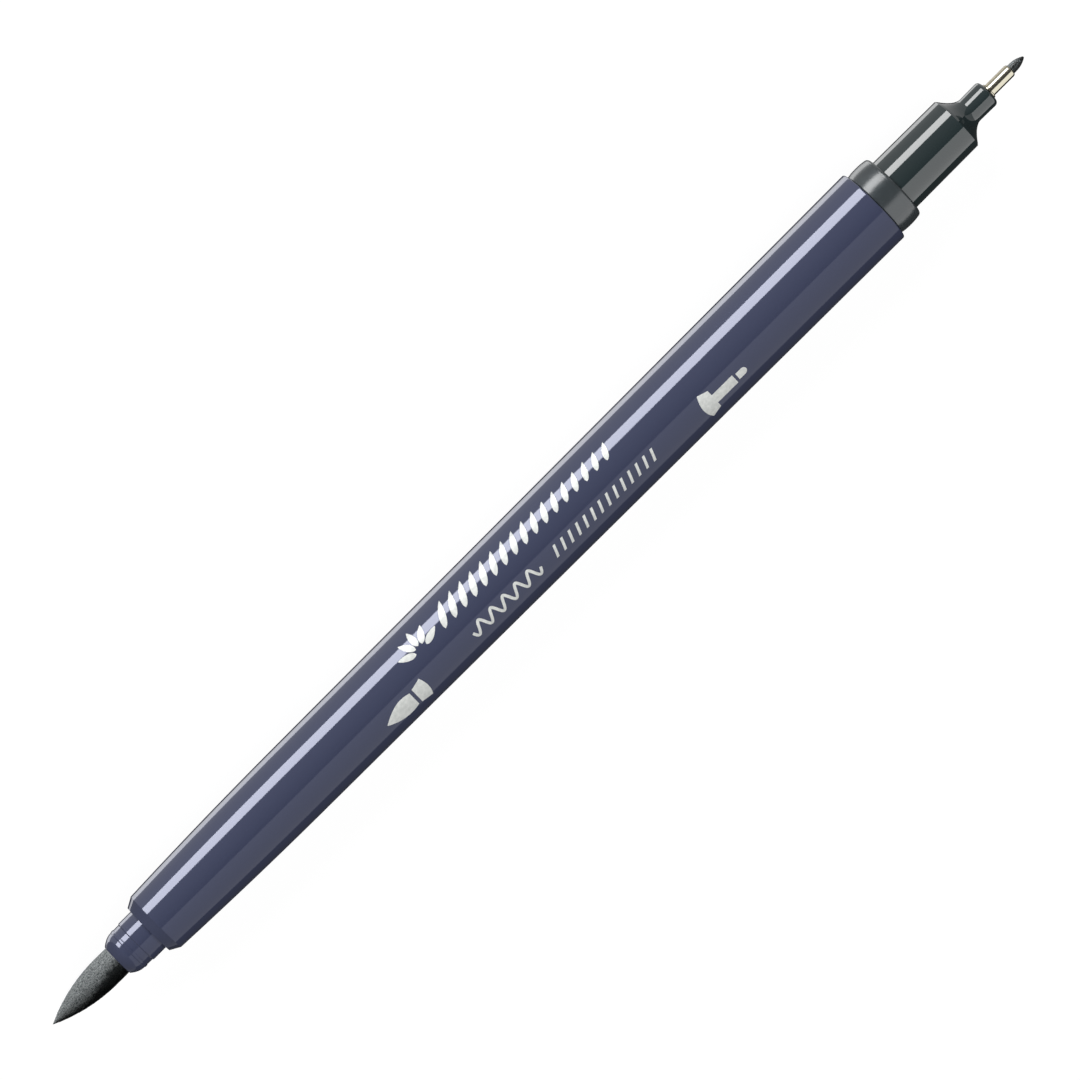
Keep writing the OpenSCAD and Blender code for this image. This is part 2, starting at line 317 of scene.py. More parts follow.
# Each row is a sum: its name, the operation, the two terms and whether it is kept within 0 to 1.
TUBE_SUMS = [
    ("i", "ADD", "X", long_steps / 2, False),
    ("j", "ADD", "Y", BARREL_SIDES / 2, False),
    ("i back", "SUBTRACT", 2 * half_steps + 1, "i", False),
    ("k", "MINIMUM", "i", "i back", False),
    ("chamfer share", "DIVIDE", "k", CHAMFER_STEPS, True),
    ("k past chamfer", "SUBTRACT", "k", CHAMFER_STEPS, False),
    ("taper share", "DIVIDE", "k past chamfer", TAPER_STEPS, True),
    ("k past taper", "SUBTRACT", "k past chamfer", TAPER_STEPS, False),
    ("edge share", "DIVIDE", "k past taper", EDGE_STEPS, True),
    ("edge turn", "MULTIPLY", "edge share", math.pi / 2, False),
    ("edge sine", "SINE", "edge turn", 0, False),
    ("edge cosine", "COSINE", "edge turn", 0, False),
    ("chamfer run", "MULTIPLY", "chamfer share", "Chamfer", False),
    ("edge run", "MULTIPLY", "edge sine", "Edge Round", False),
    ("taper start", "ADD", "Front", "Chamfer", False),
    ("edge start", "SUBTRACT", "Rear", "Edge Round", False),
    ("taper length", "SUBTRACT", "edge start", "taper start", False),
    ("taper run", "MULTIPLY", "taper share", "taper length", False),
    ("x at chamfer", "ADD", "Front", "chamfer run", False),
    ("x at taper", "ADD", "x at chamfer", "taper run", False),
    ("x", "ADD", "x at taper", "edge run", False),
    ("gain", "SUBTRACT", "Rear Radius", "Front Radius", False),
    ("past start", "SUBTRACT", "x", "taper start", False),
    ("whole length", "SUBTRACT", "Rear", "taper start", False),
    ("share", "DIVIDE", "past start", "whole length", False),
    ("gained", "MULTIPLY", "share", "gain", False),
    ("straight", "ADD", "Front Radius", "gained", False),
    ("pull share", "DIVIDE", "past start", "Pull Length", False),
    ("pull left", "SUBTRACT", 1, "pull share", True),
    ("pull squared", "POWER", "pull left", 2, False),
    ("pulled", "MULTIPLY", "pull squared", "Pull Depth", False),
    ("long skin", "SUBTRACT", "straight", "pulled", False),
    ("corner", "SUBTRACT", "Front Radius", "Pull Depth", False),
    ("face drop", "SUBTRACT", "corner", "Face Radius", False),
    ("chamfer left", "SUBTRACT", 1, "chamfer share", False),
    ("chamfered", "MULTIPLY", "chamfer left", "face drop", False),
    ("edge left", "SUBTRACT", 1, "edge cosine", False),
    ("rounded", "MULTIPLY", "edge left", "Edge Round", False),
    ("skin less chamfer", "SUBTRACT", "long skin", "chamfered", False),
    ("skin", "SUBTRACT", "skin less chamfer", "rounded", False),
    ("past neck", "SUBTRACT", "x", "Neck Bore End", False),
    ("bore length", "SUBTRACT", "Plug Bore Start", "Neck Bore End", False),
    ("bore share", "DIVIDE", "past neck", "bore length", True),
    ("bore gain", "SUBTRACT", "Bore Rear", "Bore Front", False),
    ("bore gained", "MULTIPLY", "bore share", "bore gain", False),
    ("long bore", "ADD", "Bore Front", "bore gained", False),
    ("at neck", "LESS_THAN", "x", "Neck Bore End", False),
    ("at plug", "GREATER_THAN", "x", "Plug Bore Start", False),
    ("neck change", "SUBTRACT", "Neck Bore", "long bore", False),
    ("plug change", "SUBTRACT", "Plug Bore", "long bore", False),
    ("neck step", "MULTIPLY", "at neck", "neck change", False),
    ("plug step", "MULTIPLY", "at plug", "plug change", False),
    ("bore with neck", "ADD", "long bore", "neck step", False),
    ("bore", "ADD", "bore with neck", "plug step", False),
    ("past skin", "GREATER_THAN", "i", half_steps + 0.5, False),
    ("before seam", "LESS_THAN", "i", 2 * half_steps + 1.5, False),
    ("in bore", "MULTIPLY", "past skin", "before seam", False),
    ("bore change", "SUBTRACT", "bore", "skin", False),
    ("bore part", "MULTIPLY", "in bore", "bore change", False),
    ("radius", "ADD", "skin", "bore part", False),
    ("turn", "MULTIPLY", "j", 2 * math.pi / BARREL_SIDES, False),
    ("sine", "SINE", "turn", 0, False),
    ("cosine", "COSINE", "turn", 0, False),
    ("y", "MULTIPLY", "radius", "sine", False),
    ("z", "MULTIPLY", "radius", "cosine", False),
]
for name, operation, first, second, kept in TUBE_SUMS:
    terms = {0: found.get(first, first), 1: found.get(second, second)}
    settings = {"operation": operation, "use_clamp": kept}
    found[name] = add(tube_tree, "ShaderNodeMath", settings, terms).outputs[0]
spot = add(tube_tree, "ShaderNodeCombineXYZ", None, {0: found["x"], 1: found["y"], 2: found["z"]})
rolled = add(
    tube_tree,
    "GeometryNodeSetPosition",
    None,
    {"Geometry": grid.outputs[0], "Position": spot.outputs[0]},
)
sewn = add(
    tube_tree, "GeometryNodeMergeByDistance", None, {"Geometry": rolled.outputs[0], "Distance": SEAM_GAP}
)
real = add(tube_tree, "GeometryNodeRealizeInstances", None, {"Geometry": sewn.outputs[0]})
dyed = add(
    tube_tree, "GeometryNodeSetMaterial", None, {"Geometry": real.outputs[0], "Material": polypropylene}
)
add(tube_tree, "NodeGroupOutput", None, {0: dyed.outputs[0]})


def grown(name, tree, sizes, start=None):
    """Runs a geometry node tree with its inputs set by name, and keeps the result as a plain mesh."""
    host = bpy.data.objects.new(name, start or bpy.data.meshes.new(name))
    bpy.context.scene.collection.objects.link(host)
    modifier = host.modifiers.new(name, "NODES")
    modifier.node_group = tree
    for socket in tree.interface.items_tree:
        if socket.name in sizes:
            modifier[socket.identifier] = sizes[socket.name]
    plain = bpy.data.meshes.new_from_object(host.evaluated_get(bpy.context.evaluated_depsgraph_get()))
    host.modifiers.remove(modifier)
    host.data = plain
    plain.name = name
    return host


SHARP = math.radians(18)


def faced_out(piece, sharp=SHARP):
    """Turns a closed skin's faces outwards and shades it smooth but for its real edges."""
    skin = bmesh.new()
    skin.from_mesh(piece.data)
    bmesh.ops.recalc_face_normals(skin, faces=skin.faces)
    skin.to_mesh(piece.data)
    skin.free()
    piece.data.shade_smooth()
    piece.data.set_sharp_from_angle(angle=sharp)


def fitted(piece, slot, *nodes):
    """The piece rides on the one body and stands for CAD nodes, which it hides. Its slot is not used."""
    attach(piece, "root")
    if nodes:
        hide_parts(*nodes)


barrel = grown("barrel_tube", tube_tree, TUBE_SIZES)
faced_out(barrel)
fitted(barrel, "barrel_plastic", "barrel")

# --- Printed marks ------------------------------------------------------------------------
# Silver-grey ink, pad printed along the barrel's top and -Y side as a skin 0.02 mm thick. A
# pictogram stands near each end, and samples of brush and pen strokes between them. Places on
# the print are in mm: along from the brush's point, then round from the top, positive towards -Y.
INK_THICKNESS = 0.02 * MM
WRAP_RADIUS = 4.6
brush_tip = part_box("brush_nib")[0].x

pad_ink, tree, shader = finish_of("silver_grey_pad_printed_ink")
# Pad printed ink dries to a soft sheen, with a mottle of about 0.4 mm where the pad left it thin.
place = add(tree, "ShaderNodeTexCoord")
mottle = add(
    tree, "ShaderNodeTexNoise", None, {"Vector": place.outputs["Object"], "Scale": 2500.0, "Detail": 3.0}
)
tone = add(tree, "ShaderNodeValToRGB", None, {0: mottle.outputs["Fac"]})
tone.color_ramp.elements[0].position = 0.3
tone.color_ramp.elements[0].color = linear("#d3d6d3")
tone.color_ramp.elements[1].position = 0.7
tone.color_ramp.elements[1].color = linear("#e9ebe8")
relief = add(
    tree,
    "ShaderNodeBump",
    None,
    {"Height": mottle.outputs["Fac"], "Distance": 0.000002, "Strength": 0.5},
)
tree.links.new(tone.outputs[0], shader.inputs["Base Color"])
tree.links.new(relief.outputs[0], shader.inputs["Normal"])
shader.inputs["Roughness"].default_value = 0.3


def print_on(name, ribbons):
    """Ink on the barrel. A ribbon is rows of points, each (mm along, mm round)."""
    sheet = bmesh.new()
    for ribbon in ribbons:
        rows = []
        for row in ribbon:
            corners = []
            for along, across in row:
                turn = across / WRAP_RADIUS
                radius = WRAP_RADIUS * MM
                spot = (brush_tip + along * MM, -radius * math.sin(turn), radius * math.cos(turn))
                corners.append(sheet.verts.new(spot))
            rows.append(corners)
        for one, two in zip(rows, rows[1:], strict=False):
            for i in range(len(one) - 1):
                sheet.faces.new((one[i], one[i + 1], two[i + 1], two[i]))
    flat = bpy.data.meshes.new(name)
    sheet.to_mesh(flat)
    sheet.free()
    flat.materials.append(pad_ink)
    mark = bpy.data.objects.new(name, flat)
    bpy.context.scene.collection.objects.link(mark)
    hug = mark.modifiers.new("hug", "SHRINKWRAP")
    hug.target = barrel
    hug.wrap_mode = "ABOVE_SURFACE"
    hug.offset = INK_THICKNESS
    body = mark.modifiers.new("body", "SOLIDIFY")
    body.thickness = INK_THICKNESS
    body.offset = -1
    plain = bpy.data.meshes.new_from_object(mark.evaluated_get(bpy.context.evaluated_depsgraph_get()))
    mark.modifiers.clear()
    mark.data = plain
    faced_out(mark)
    fitted(mark, "print_ink")


def across_line(x, half, middle, cells=8):
    """A row of points across a ribbon at x, out to half on both sides of the line at middle."""
    return [(x, middle + half * (2 * i / cells - 1)) for i in range(cells + 1)]


# The brush pictogram: a pointed tuft, and a flared ferrule with a bulging rear edge.
BRUSH_LINE = 3.0
TUFT_START = 49.05
TUFT_LENGTH = 4.2
TUFT_HALF = 1.2
TUFT_TURN = 0.7
TUFT_FULLNESS = 0.92
LEAST_HALF = 0.01
tuft = []
for i in range(25):
    share = i / 24
    belly = math.sin(math.pi * TUFT_TURN * share) ** TUFT_FULLNESS
    x = TUFT_START + TUFT_LENGTH * share
    tuft.append(across_line(x, TUFT_HALF * belly + LEAST_HALF, BRUSH_LINE))
FERRULE_START = 53.68
FERRULE_LENGTH = 1.42
FERRULE_HALF = 1.12
FERRULE_FLARE = 0.36
BULGE = 0.28
ferrule = []
for i in range(13):
    share = i / 12
    row = across_line(0, FERRULE_HALF + FERRULE_FLARE * share, BRUSH_LINE)
    bulged = []
    for _, across in row:
        out = (across - BRUSH_LINE) / (FERRULE_HALF + FERRULE_FLARE)
        reach = FERRULE_LENGTH + BULGE * (1 - out**2)
        bulged.append((FERRULE_START + reach * share, across))
    ferrule.append(bulged)
print_on("print_brush_pictogram", [tuft, ferrule])

# The fine pictogram: a flared holder with a round rear edge, a shaft, and a nib with a round end.
FINE_LINE = 2.82
HOLDER_START = 97.92
HOLDER_END = 99.72
HOLDER_HALF = 1.73
HOLDER_NARROWS = 0.4
REAR_BULGE = 0.5
SHAFT_LENGTH = 3.12
SHAFT_HALF = 0.62
NIB_MARK_START = 103.2
NIB_MARK_STEP = 0.12
NIB_MARK_HALF = 0.45
NIB_ROUND_START = 104.04
NIB_ROUND_LENGTH = 0.5
holder = []
for i in range(13):
    share = i / 12
    row = []
    for j in range(17):
        out = 2 * j / 16 - 1
        rear = HOLDER_START + REAR_BULGE * out**2
        half = HOLDER_HALF - HOLDER_NARROWS * share
        row.append((rear + (HOLDER_END - rear) * share, FINE_LINE + half * out))
    holder.append(row)
shaft = [across_line(HOLDER_END + SHAFT_LENGTH * i / 8, SHAFT_HALF, FINE_LINE) for i in range(9)]
nib_mark = [
    across_line(NIB_MARK_START + NIB_MARK_STEP * i, NIB_MARK_HALF, FINE_LINE) for i in range(8)
]
for i in range(1, 9):
    turn = math.pi / 2 * i / 8
    reach = NIB_ROUND_START + NIB_ROUND_LENGTH * math.sin(turn)
    nib_mark.append(across_line(reach, NIB_MARK_HALF * math.cos(turn) + LEAST_HALF / 2, FINE_LINE))
print_on("print_fine_pictogram", [holder, shaft, nib_mark])

# Samples of brush strokes: a fan of dabs, then a row of slanted dabs that get shorter.
STROKE_LINE = -1.85
DAB_STEPS = 12
DAB_LEAD = 0.75
DAB_FULLNESS = 0.8


def dab(x, across, length, width, slant):
    """One dab of a brush about (x, across): pointed at both ends and fullest before the middle."""
    turn = math.radians(slant)
    ribbon = []
    for i in range(DAB_STEPS + 1):
        share = i / DAB_STEPS
        run = length * (share - 0.5)
        half = width / 2 * math.sin(math.pi * share**DAB_LEAD) ** DAB_FULLNESS + LEAST_HALF
        row = []
        for _, side in across_line(0, half, 0, cells=4):
            row.append((
                x + run * math.cos(turn) - side * math.sin(turn),
                across + run * math.sin(turn) + side * math.cos(turn),
            ))
        ribbon.append(row)
    return ribbon


FAN_ROOT = (57.6, STROKE_LINE + 1.55)
FAN_REACH = 1.95
FAN_DAB_LENGTH = 2.2
FAN_DAB_WIDTH = 0.8
dabs = []
for slant in (-158, -124, -90, -56, -22):
    turn = math.radians(slant)
    middle = (FAN_ROOT[0] + FAN_REACH * math.cos(turn), FAN_ROOT[1] + FAN_REACH * math.sin(turn))
    dabs.append(dab(*middle, FAN_DAB_LENGTH, FAN_DAB_WIDTH, slant))
DAB_COUNT = 17
ROW_START = 61.9
ROW_LENGTH = 25.2
ROW_SLANT = -62
LONGEST_DAB = 3.4
LENGTH_LOSS = 1.2
WIDEST_DAB = 0.82
WIDTH_LOSS = 0.14
for i in range(DAB_COUNT):
    share = i / (DAB_COUNT - 1)
    x = ROW_START + ROW_LENGTH * share
    length = LONGEST_DAB - LENGTH_LOSS * share
    width = WIDEST_DAB - WIDTH_LOSS * share
    dabs.append(dab(x, STROKE_LINE, length, width, ROW_SLANT))
print_on("print_brush_dabs", dabs)

# Samples of pen strokes: a wave, then a row of fine ticks.
PEN_LINE = 2.3
PEN_WIDTH = 0.34
WAVE_START = 62.8
WAVE_LENGTH = 10.4
WAVE_TURNS = 5.5
WAVE_HALF = 0.75
wave = []
for i in range(133):
    share = i / 132
    turn = 2 * math.pi * WAVE_TURNS * share
    slope = WAVE_HALF * 2 * math.pi * WAVE_TURNS / WAVE_LENGTH * math.cos(turn)
    aside = Vector((-slope, 1)).normalized() * PEN_WIDTH / 2
    middle = Vector((WAVE_START + WAVE_LENGTH * share, PEN_LINE + WAVE_HALF * math.sin(turn)))
    wave.append([tuple(middle - aside), tuple(middle), tuple(middle + aside)])
TICK_HALF = 0.75
TICKS_START = 75.2
TICK_SPACING = 1.15
TICK_LEAN = 0.25
ticks = []
for i in range(14):
    start = TICKS_START + TICK_SPACING * i
    tick = []
    for j in range(7):
        across = TICK_HALF * (1 - j / 3)
        lean = TICK_LEAN * (1 - across / TICK_HALF)
        tick.append([(start + lean, PEN_LINE + across), (start + lean + PEN_WIDTH, PEN_LINE + across)])
    ticks.append(tick)
print_on("print_pen_strokes", [wave, *ticks])

# --- Neck ---------------------------------------------------------------------------------
# The brush's holder, moulded from the barrel's plastic and pressed into its end. Its mouth is
# rounded over, a bead clicks into the cap, and the cap's rim slides on the step behind it.
TURNED_SIDES = 160


def arc(x, r, along, across, start, end, steps=8):
    """Points of an arc of an ellipse about (x, r): 0 degrees points out, 90 along +X."""
    points = []
    for i in range(steps + 1):
        turn = math.radians(start + (end - start) * i / steps)
        points.append((x + along * math.sin(turn), r + across * math.cos(turn)))
    return points


def turned(name, outline, material, ring=False, sides=TURNED_SIDES):
    """A skin turned about the axis from (station, radius) points. A ring's outline closes on itself."""
    skin = bmesh.new()
    rows = []
    for x, r in outline:
        count = sides if r > 0 else 1
        turns = [2 * math.pi * i / count for i in range(count)]
        rows.append([skin.verts.new((x, r * math.sin(t), r * math.cos(t))) for t in turns])
    pairs = list(zip(rows, rows[1:], strict=False))
    if ring:
        pairs.append((rows[-1], rows[0]))
    for one, two in pairs:
        for i in range(sides):
            first_pair = (one[i % len(one)], one[(i + 1) % len(one)])
            second_pair = (two[(i + 1) % len(two)], two[i % len(two)])
            skin.faces.new(dict.fromkeys(first_pair + second_pair))
    data = bpy.data.meshes.new(name)
    skin.to_mesh(data)
    skin.free()
    data.materials.append(material)
    piece = bpy.data.objects.new(name, data)
    bpy.context.scene.collection.objects.link(piece)
    faced_out(piece)
    return piece


neck_low, neck_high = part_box("brush_section")
neck_seat = neck_high.z
SEAT_LENGTH = 1.9 * MM
seat_start = barrel_low.x - SEAT_LENGTH
MOUTH_RADIUS = 1.98 * MM
NECK_RADIUS = 2.64 * MM
MOUTH_LENGTH = 1.5 * MM
MOUTH_SWELL = 1.9
BRUSH_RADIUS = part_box("brush_nib")[1].z
MOUTH_GAP = 0.01 * MM
NECK_DRAFT = 0.015 * MM
BEAD_HEIGHT = 0.07 * MM
BEAD_FULLNESS = 0.6
BEAD_START = neck_low.x + 1.56 * MM
BEAD_END = neck_low.x + 2.0 * MM
STEP = 0.12 * MM
CHAMBER = 2.15 * MM
LIP = 1.05 * MM
neck_outline = [(neck_low.x, BRUSH_RADIUS + MOUTH_GAP)]
for i in range(25):
    share = i / 24
    fall = (1 - share) ** MOUTH_SWELL
    x = neck_low.x + MOUTH_LENGTH * share
    neck_outline.append((x, NECK_RADIUS + (MOUTH_RADIUS - NECK_RADIUS) * fall))
for i in range(17):
    share = i / 16
    swell = BEAD_HEIGHT * math.sin(math.pi * share) ** BEAD_FULLNESS
    neck_outline.append((BEAD_START + (BEAD_END - BEAD_START) * share, NECK_RADIUS + swell))
neck_outline += [
    (seat_start - STEP, NECK_RADIUS + NECK_DRAFT),
    (seat_start, neck_seat),
    (barrel_low.x, neck_seat),
    (barrel_low.x, NECK_BORE),
    (neck_high.x, NECK_BORE),
    (neck_high.x, CHAMBER),
    (neck_low.x + LIP, CHAMBER),
    (neck_low.x + LIP, BRUSH_RADIUS + MOUTH_GAP),
]
neck = turned("brush_neck", neck_outline, polypropylene, ring=True)
fitted(neck, "barrel_plastic", "brush_section")

# --- Brush nib ----------------------------------------------------------------------------
# A rod of felted nylon fibre, ground to a pointed ogive and soaked with grey ink. Its skin is
# grainy, and loose fibre ends lie along it. Its thinner tail drinks from the reservoir.
nib_low, nib_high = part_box("brush_nib")
POINT_LENGTH = 8.25 * MM
POINT_RINGS = 130
RING_CROWDING = 1.25
TAIL_RADIUS = 1.5 * MM
FRONT_LENGTH = 17 * MM
TAIL_START = 17.6 * MM
GRAIN = 0.14 * MM
GRAIN_DEPTH = 0.012 * MM
GRAIN_INSET = 0.7
GRAIN_FADE = 0.5 * MM
GRAINY_SHANK = 2.2 * MM
# Where the painted shade on the -Y side starts, how far it fades in and how it slants.
SHADE_FROM = nib_low.x + 10.2 * MM
SHADE_FADE = 4.5 * MM
SHADE_SLANT = -5.0
BLOTCH_REACH = 6 * MM

felt, tree, shader = finish_of("ink_soaked_nylon_felt_painted_shade")
# Felted fibre scatters light and shows as a fine speckle of lighter fibre ends among dark gaps
# that hold the ink. Real fibres are about 0.02 mm thick. The speckle is 0.13 mm, so that it shows.
place = add(tree, "ShaderNodeTexCoord")
speckle = add(
    tree,
    "ShaderNodeTexNoise",
    None,
    {"Vector": place.outputs["Object"], "Scale": 7500.0, "Detail": 3.0, "Roughness": 0.75},
)
tone = add(tree, "ShaderNodeValToRGB", None, {0: speckle.outputs["Fac"]})
tone.color_ramp.elements[0].position = 0.36
tone.color_ramp.elements[0].color = linear("#4a5052")
tone.color_ramp.elements[1].position = 0.66
tone.color_ramp.elements[1].color = linear("#cfd4d5")
relief = add(
    tree,
    "ShaderNodeBump",
    None,
    {"Height": speckle.outputs["Fac"], "Distance": 0.00005, "Strength": 1.0},
)
# Painted shade: the -Y side, which faces away from the key light, is darkened towards the neck
# as if ink had settled there. Its edge breaks up into blotches of half a mm.
spot = add(tree, "ShaderNodeSeparateXYZ", None, {0: place.outputs["Object"]})
reach = add(
    tree,
    "ShaderNodeMath",
    {"operation": "MULTIPLY_ADD"},
    {0: spot.outputs["Y"], 1: SHADE_SLANT, 2: spot.outputs["X"]},
)
blotch = add(
    tree, "ShaderNodeTexNoise", None, {"Vector": place.outputs["Object"], "Scale": 2200.0, "Detail": 3.0}
)
edge = add(
    tree,
    "ShaderNodeMath",
    {"operation": "MULTIPLY_ADD"},
    {0: blotch.outputs["Fac"], 1: BLOTCH_REACH, 2: reach.outputs[0]},
)
painted_shade = add(
    tree,
    "ShaderNodeMapRange",
    {"interpolation_type": "SMOOTHSTEP"},
    {0: edge.outputs[0], 1: SHADE_FROM, 2: SHADE_FROM + SHADE_FADE, 3: 0.0, 4: 0.85},
)
shaded_felt = add(tree, "ShaderNodeMix", {"data_type": "RGBA"}, {"Factor": painted_shade.outputs[0]})
tree.links.new(tone.outputs[0], shaded_felt.inputs[6])
# Near black, the colour of the painted shade.
shaded_felt.inputs[7].default_value = linear("#0c1112")
tree.links.new(shaded_felt.outputs[2], shader.inputs["Base Color"])
tree.links.new(relief.outputs[0], shader.inputs["Normal"])
shader.inputs["Roughness"].default_value = 0.92
shader.inputs["Specular IOR Level"].default_value = 0.2


def ogive(back):
    """The point's radius at a distance back from its tip."""
    swing = (BRUSH_RADIUS**2 + POINT_LENGTH**2) / (2 * BRUSH_RADIUS)
    return math.sqrt(swing**2 - (POINT_LENGTH - back) ** 2) + BRUSH_RADIUS - swing


point_outline = [(nib_low.x, 0)]
for i in range(1, POINT_RINGS + 1):
    back = POINT_LENGTH * (i / POINT_RINGS) ** RING_CROWDING
    point_outline.append((nib_low.x + back, ogive(back)))
for i in range(1, 31):
    point_outline.append((nib_low.x + POINT_LENGTH + GRAINY_SHANK * i / 30, BRUSH_RADIUS))
point_outline += [
    (nib_low.x + FRONT_LENGTH, BRUSH_RADIUS),
    (nib_low.x + TAIL_START, TAIL_RADIUS),
    (nib_high.x, TAIL_RADIUS),
    (nib_high.x, 0),
]
brush = turned("brush_nib_felt", point_outline, felt)
# The grain roughens the skin that is seen, and fades out towards the very tip.
SEEN_END = neck_low.x + 0.3 * MM
for vert in brush.data.vertices:
    out = Vector((0, vert.co.y, vert.co.z))
    if out.length > 0 and vert.co.x < SEEN_END:
        fade = min(1.0, out.length / GRAIN_FADE)
        rough = noise.fractal(vert.co / GRAIN, 1.0, 2.0, 3)
        vert.co += out.normalized() * (rough - GRAIN_INSET) * GRAIN_DEPTH * fade
FELT_SHARP = math.radians(60)
brush.data.set_sharp_from_angle(angle=FELT_SHARP)
fitted(brush, "brush_fibre", "brush_nib")

# A flag keeps the fill light off both nibs, so their far sides fall away to black.
flagged = bpy.data.collections.new("flagged_from_fill")
flagged.objects.link(brush)

# Loose fibre ends: thin strands scattered on the seen skin and laid back along it.
nap_tree = bpy.data.node_groups.new("nap_of_fibre_ends", "GeometryNodeTree")
NAP_SIZES = {
    "Fibre Length": 0.55 * MM,
    "Fibre Radius": 0.014 * MM,
    "Per Area": 34e6,
}
nap_tree.interface.new_socket("Skin", in_out="INPUT", socket_type="NodeSocketGeometry")
nap_tree.interface.new_socket("Nap", in_out="OUTPUT", socket_type="NodeSocketGeometry")
for size_name in NAP_SIZES:
    nap_tree.interface.new_socket(size_name, in_out="INPUT", socket_type="NodeSocketFloat")
given = add(nap_tree, "NodeGroupInput")
spread = add(
    nap_tree,
    "GeometryNodeDistributePointsOnFaces",
    None,
    {"Mesh": given.outputs["Skin"], "Density": given.outputs["Per Area"], "Seed": 7},
)
# A strand follows a random lay, mostly along the rod, that is flattened on to the skin. Strands
# are 0.3 to 0.7 mm long and about 0.03 mm thick at most.
lay = add(nap_tree, "FunctionNodeRandomValue", {"data_type": "FLOAT_VECTOR"}, {"Seed": 11})
lay.inputs[0].default_value = (0.8, -0.5, -0.5)
lay.inputs[1].default_value = (1.0, 0.5, 0.5)
outward = add(
    nap_tree,
    "ShaderNodeVectorMath",
    {"operation": "DOT_PRODUCT"},
    {0: lay.outputs[0], 1: spread.outputs["Normal"]},
)
off_skin = add(
    nap_tree,
    "ShaderNodeVectorMath",
    {"operation": "SCALE"},
    {0: spread.outputs["Normal"], "Scale": outward.outputs["Value"]},
)
flat_lay = add(
    nap_tree,
    "ShaderNodeVectorMath",
    {"operation": "SUBTRACT"},
    {0: lay.outputs[0], 1: off_skin.outputs[0]},
)
facing = add(
    nap_tree, "FunctionNodeAlignRotationToVector", {"axis": "X"}, {"Vector": flat_lay.outputs[0]}
)
half = add(
    nap_tree, "ShaderNodeMath", {"operation": "MULTIPLY"}, {0: given.outputs["Fibre Length"], 1: 0.5}
)
back_end = add(nap_tree, "ShaderNodeMath", {"operation": "MULTIPLY"}, {0: half.outputs[0], 1: -1.0})
start_spot = add(nap_tree, "ShaderNodeCombineXYZ", None, {0: back_end.outputs[0]})
end_spot = add(nap_tree, "ShaderNodeCombineXYZ", None, {0: half.outputs[0]})
line = add(
    nap_tree,
    "GeometryNodeCurvePrimitiveLine",
    None,
    {"Start": start_spot.outputs[0], "End": end_spot.outputs[0]},
)
segments = add(nap_tree, "GeometryNodeResampleCurve", None, {"Curve": line.outputs[0], "Count": 5})
section_ring = add(
    nap_tree,
    "GeometryNodeCurvePrimitiveCircle",
    None,
    {"Resolution": 4, "Radius": given.outputs["Fibre Radius"]},
)
strand = add(
    nap_tree,
    "GeometryNodeCurveToMesh",
    None,
    {"Curve": segments.outputs[0], "Profile Curve": section_ring.outputs[0], "Fill Caps": True},
)
sizes_vary = add(
    nap_tree, "FunctionNodeRandomValue", {"data_type": "FLOAT"}, {"Min": 0.5, "Max": 1.2, "Seed": 3}
)
laid = add(
    nap_tree,
    "GeometryNodeInstanceOnPoints",
    None,
    {
        "Points": spread.outputs["Points"],
        "Instance": strand.outputs[0],
        "Rotation": facing.outputs[0],
        "Scale": sizes_vary.outputs[1],
    },
)
real = add(nap_tree, "GeometryNodeRealizeInstances", None, {"Geometry": laid.outputs[0]})
dyed = add(nap_tree, "GeometryNodeSetMaterial", None, {"Geometry": real.outputs[0], "Material": felt})
add(nap_tree, "NodeGroupOutput", None, {0: dyed.outputs[0]})

# Strands start a little behind the tip and end a little before the neck.
NAP_START = nib_low.x + 0.9 * MM
NAP_END = neck_low.x - 0.35 * MM
seen_skin = bmesh.new()
seen_skin.from_mesh(brush.data)
bare = [face for face in seen_skin.faces if not NAP_START <= face.calc_center_median().x <= NAP_END]
bmesh.ops.delete(seen_skin, geom=bare, context="FACES")
skin_part = bpy.data.meshes.new("seen_skin")
seen_skin.to_mesh(skin_part)
seen_skin.free()
nap = grown("brush_nib_fibre_ends", nap_tree, NAP_SIZES, skin_part)
faced_out(nap, FELT_SHARP)
fitted(nap, "brush_fibre")
flagged.objects.link(nap)

# --- Reservoir ----------------------------------------------------------------------------
# A rod of bonded polyester fibre in a clear film, hidden in the barrel. Both nibs' tails run
# into its ends, so the same ink feeds the brush and the fine nib.
polyester, tree, shader = finish_of("bonded_polyester_fibre")
# Its fibres lie along the rod and show as fine streaks, 0.1 mm apart, stained grey by the ink.
place = add(tree, "ShaderNodeTexCoord")
along = add(
    tree, "ShaderNodeMapping", None, {0: place.outputs["Object"], "Scale": (300.0, 9000.0, 9000.0)}
)
strands = add(
    tree, "ShaderNodeTexNoise", None, {"Vector": along.outputs[0], "Scale": 1.0, "Detail": 3.0}
)
tone = add(tree, "ShaderNodeValToRGB", None, {0: strands.outputs["Fac"]})
tone.color_ramp.elements[0].position = 0.35
tone.color_ramp.elements[0].color = linear("#8c8f8e")
tone.color_ramp.elements[1].position = 0.65
tone.color_ramp.elements[1].color = linear("#dddcd6")
tree.links.new(tone.outputs[0], shader.inputs["Base Color"])
shader.inputs["Roughness"].default_value = 0.95
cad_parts["reservoir_core"].data.materials[0] = polyester

film, tree, shader = finish_of("clear_polypropylene_film")
